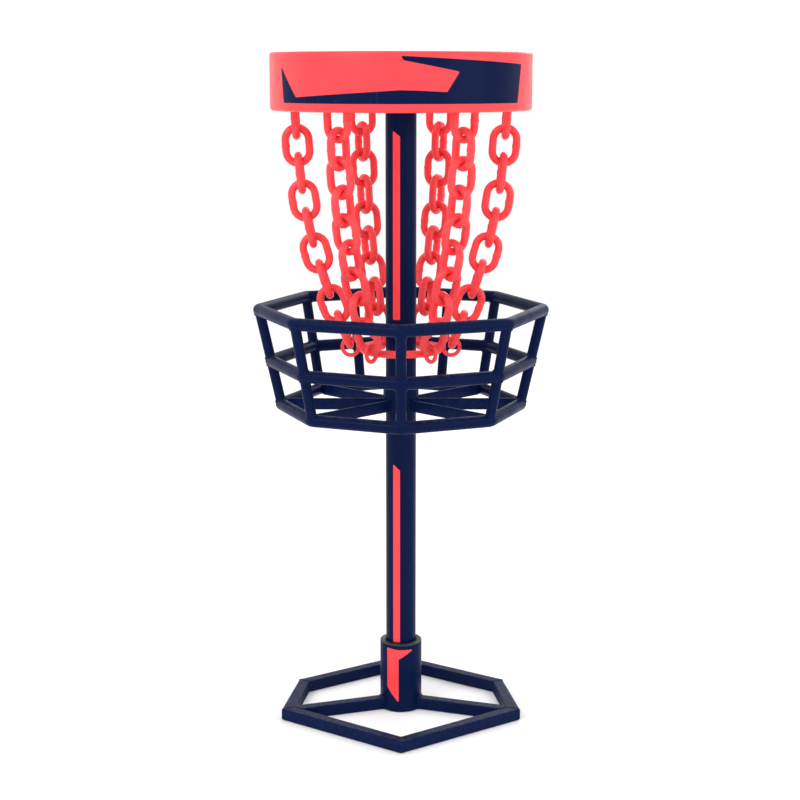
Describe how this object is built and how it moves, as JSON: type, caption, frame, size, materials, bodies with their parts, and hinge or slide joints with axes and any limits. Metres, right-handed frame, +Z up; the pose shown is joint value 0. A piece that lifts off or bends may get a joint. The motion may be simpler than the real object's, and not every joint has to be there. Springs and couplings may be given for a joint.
{
  "type": "disc golf basket",
  "caption": "Portable disc golf target: hexagonal tube foot, turning pole, octagonal tapered catching basket, round top band and chain strands hung to a floating ring.",
  "frame": {"origin": "centre of the foot at ground level, under the pole", "axes": "+Z up the pole, -Y to the front, where a corner of the foot and of the basket points"},
  "size_m": [0.6194, 0.6194, 1.39],
  "materials": {
    "coral_coat": "coral powder coat, satin",
    "navy_coat": "navy powder coat, satin",
    "zinc_steel": "zinc plated",
    "black_nylon": "moulded nylon, matt"
  },
  "bodies": {
    "base": {"base_ring": "navy_coat", "base_spoke_left": "navy_coat", "base_spoke_right": "navy_coat", "base_spoke_rear": "navy_coat", "base_sleeve": "navy_coat", "sleeve_bush_top": "black_nylon", "lock_nut": "navy_coat"},
    "turn_bush": {"turn_bush": "black_nylon"},
    "lock_pad": {"lock_pad": "black_nylon"},
    "lock_screw": {"lock_screw": "zinc_steel"},
    "ring": {"chain_ring": "coral_coat"},
    "front_right_hook": {"front_right_hook_link": "coral_coat"},
    "front_right_upper": {"front_right_upper_run": "coral_coat"},
    "front_right_lower": {"front_right_lower_run": "coral_coat"},
    "right_hook": {"right_hook_link": "coral_coat"},
    "right_upper": {"right_upper_run": "coral_coat"},
    "right_lower": {"right_lower_run": "coral_coat"},
    "rear_right_hook": {"rear_right_hook_link": "coral_coat"},
    "rear_right_upper": {"rear_right_upper_run": "coral_coat"},
    "rear_right_lower": {"rear_right_lower_run": "coral_coat"},
    "rear_left_hook": {"rear_left_hook_link": "coral_coat"},
    "rear_left_upper": {"rear_left_upper_run": "coral_coat"},
    "rear_left_lower": {"rear_left_lower_run": "coral_coat"},
    "left_hook": {"left_hook_link": "coral_coat"},
    "left_upper": {"left_upper_run": "coral_coat"},
    "left_lower": {"left_lower_run": "coral_coat"},
    "front_left_hook": {"front_left_hook_link": "coral_coat"},
    "front_left_upper": {"front_left_upper_run": "coral_coat"},
    "front_left_lower": {"front_left_lower_run": "coral_coat"},
    "mast": {"pole_lower": "navy_coat", "pole_upper": "navy_coat", "pole_joiner": "zinc_steel", "pole_cap": "black_nylon", "basket_rim": "navy_coat", "basket_mid_hoop": "navy_coat", "basket_bottom_hoop": "navy_coat", "basket_floor": "navy_coat", "floor_screw": "zinc_steel", "strut_front": "navy_coat", "strut_front_right": "navy_coat", "strut_right": "navy_coat", "strut_rear_right": "navy_coat", "strut_rear": "navy_coat", "strut_rear_left": "navy_coat", "strut_left": "navy_coat", "strut_front_left": "navy_coat", "strut_extra_right": "navy_coat", "strut_extra_left": "navy_coat", "top_hub": "coral_coat", "hub_screw": "zinc_steel", "arm_front_right": "coral_coat", "arm_right": "coral_coat", "arm_rear_right": "coral_coat", "arm_rear_left": "coral_coat", "arm_left": "coral_coat", "arm_front_left": "coral_coat", "band": "coral_coat", "band_rod_top": "coral_coat", "band_rod_bottom": "coral_coat"}
  },
  "joints": [
    {"name": "mast_turn", "type": "hinge", "parent": "base", "child": "turn_bush", "pos_m": [0, 0, 0], "axis": [0, 0, 1], "continuous": true},
    {"name": "mast_lift", "type": "slide", "parent": "turn_bush", "child": "mast", "axis": [0, 0, 1], "range_m": [0, 0.15]},
    {"name": "lock_pad_travel", "type": "slide", "parent": "base", "child": "lock_pad", "axis": [0, 1, 0], "range_m": [0, 0.0036]},
    {"name": "lock_screw_turn", "type": "hinge", "parent": "lock_pad", "child": "lock_screw", "pos_m": [0, 0.03565, 0.076], "axis": [0, 1, 0], "range_deg": [0, 720]},
    {"name": "ring_lift", "type": "slide", "parent": "mast", "child": "ring", "axis": [0, 0, 1], "range_m": [0, 0.034]},
    {"name": "front_right_swing", "type": "hinge", "parent": "mast", "child": "front_right_hook", "pos_m": [0.12447, -0.17776, 1.294], "axis": [0.1238, -0.1768, 0.9764], "range_deg": [-12, 12]},
    {"name": "front_right_upper_fold", "type": "hinge", "parent": "front_right_hook", "child": "front_right_upper", "pos_m": [0.12196, -0.17418, 1.22263], "axis": [0.8192, 0.5736, 0], "range_deg": [-16.4, 0]},
    {"name": "front_right_lower_fold", "type": "hinge", "parent": "front_right_upper", "child": "front_right_lower", "pos_m": [0.10333, -0.14758, 1.00214], "axis": [0.8192, 0.5736, 0], "range_deg": [0, 34.86]},
    {"name": "right_swing", "type": "hinge", "parent": "mast", "child": "right_hook", "pos_m": [0.217, 0, 1.294], "axis": [0.2158, 0, 0.9764], "range_deg": [-12, 12]},
    {"name": "right_upper_fold", "type": "hinge", "parent": "right_hook", "child": "right_upper", "pos_m": [0.21263, 0, 1.22263], "axis": [0, 1, 0], "range_deg": [-16.4, 0]},
    {"name": "right_lower_fold", "type": "hinge", "parent": "right_upper", "child": "right_lower", "pos_m": [0.18016, 0, 1.00214], "axis": [0, 1, 0], "range_deg": [0, 34.86]},
    {"name": "rear_right_swing", "type": "hinge", "parent": "mast", "child": "rear_right_hook", "pos_m": [0.08479, 0.19975, 1.294], "axis": [0.0843, 0.1986, 0.9764], "range_deg": [-12, 12]},
    {"name": "rear_right_upper_fold", "type": "hinge", "parent": "rear_right_hook", "child": "rear_right_upper", "pos_m": [0.08308, 0.19573, 1.22263], "axis": [-0.9205, 0.3907, 0], "range_deg": [-16.4, 0]},
    {"name": "rear_right_lower_fold", "type": "hinge", "parent": "rear_right_upper", "child": "rear_right_lower", "pos_m": [0.07039, 0.16584, 1.00214], "axis": [-0.9205, 0.3907, 0], "range_deg": [0, 34.86]},
    {"name": "rear_left_swing", "type": "hinge", "parent": "mast", "child": "rear_left_hook", "pos_m": [-0.08479, 0.19975, 1.294], "axis": [-0.0843, 0.1986, 0.9764], "range_deg": [-12, 12]},
    {"name": "rear_left_upper_fold", "type": "hinge", "parent": "rear_left_hook", "child": "rear_left_upper", "pos_m": [-0.08308, 0.19573, 1.22263], "axis": [-0.9205, -0.3907, 0], "range_deg": [-16.4, 0]},
    {"name": "rear_left_lower_fold", "type": "hinge", "parent": "rear_left_upper", "child": "rear_left_lower", "pos_m": [-0.07039, 0.16584, 1.00214], "axis": [-0.9205, -0.3907, 0], "range_deg": [0, 34.86]},
    {"name": "left_swing", "type": "hinge", "parent": "mast", "child": "left_hook", "pos_m": [-0.217, 0, 1.294], "axis": [-0.2158, 0, 0.9764], "range_deg": [-12, 12]},
    {"name": "left_upper_fold", "type": "hinge", "parent": "left_hook", "child": "left_upper", "pos_m": [-0.21263, 0, 1.22263], "axis": [0, -1, 0], "range_deg": [-16.4, 0]},
    {"name": "left_lower_fold", "type": "hinge", "parent": "left_upper", "child": "left_lower", "pos_m": [-0.18016, 0, 1.00214], "axis": [0, -1, 0], "range_deg": [0, 34.86]},
    {"name": "front_left_swing", "type": "hinge", "parent": "mast", "child": "front_left_hook", "pos_m": [-0.12447, -0.17776, 1.294], "axis": [-0.1238, -0.1768, 0.9764], "range_deg": [-12, 12]},
    {"name": "front_left_upper_fold", "type": "hinge", "parent": "front_left_hook", "child": "front_left_upper", "pos_m": [-0.12196, -0.17418, 1.22263], "axis": [0.8192, -0.5736, 0], "range_deg": [-16.4, 0]},
    {"name": "front_left_lower_fold", "type": "hinge", "parent": "front_left_upper", "child": "front_left_lower", "pos_m": [-0.10333, -0.14758, 1.00214], "axis": [0.8192, -0.5736, 0], "range_deg": [0, 34.86]}
  ],
  "couplings": [
    {"joint": "lock_pad_travel", "follows": "lock_screw_turn", "m_per_rad": 0.00027852},
    {"joint": "front_right_upper_fold", "follows": "ring_lift", "rad_per_m": -8.3155},
    {"joint": "front_right_lower_fold", "follows": "ring_lift", "rad_per_m": 17.791},
    {"joint": "right_upper_fold", "follows": "ring_lift", "rad_per_m": -8.3155},
    {"joint": "right_lower_fold", "follows": "ring_lift", "rad_per_m": 17.791},
    {"joint": "rear_right_upper_fold", "follows": "ring_lift", "rad_per_m": -8.3155},
    {"joint": "rear_right_lower_fold", "follows": "ring_lift", "rad_per_m": 17.791},
    {"joint": "rear_left_upper_fold", "follows": "ring_lift", "rad_per_m": -8.3155},
    {"joint": "rear_left_lower_fold", "follows": "ring_lift", "rad_per_m": 17.791},
    {"joint": "left_upper_fold", "follows": "ring_lift", "rad_per_m": -8.3155},
    {"joint": "left_lower_fold", "follows": "ring_lift", "rad_per_m": 17.791},
    {"joint": "front_left_upper_fold", "follows": "ring_lift", "rad_per_m": -8.3155},
    {"joint": "front_left_lower_fold", "follows": "ring_lift", "rad_per_m": 17.791}
  ]
}
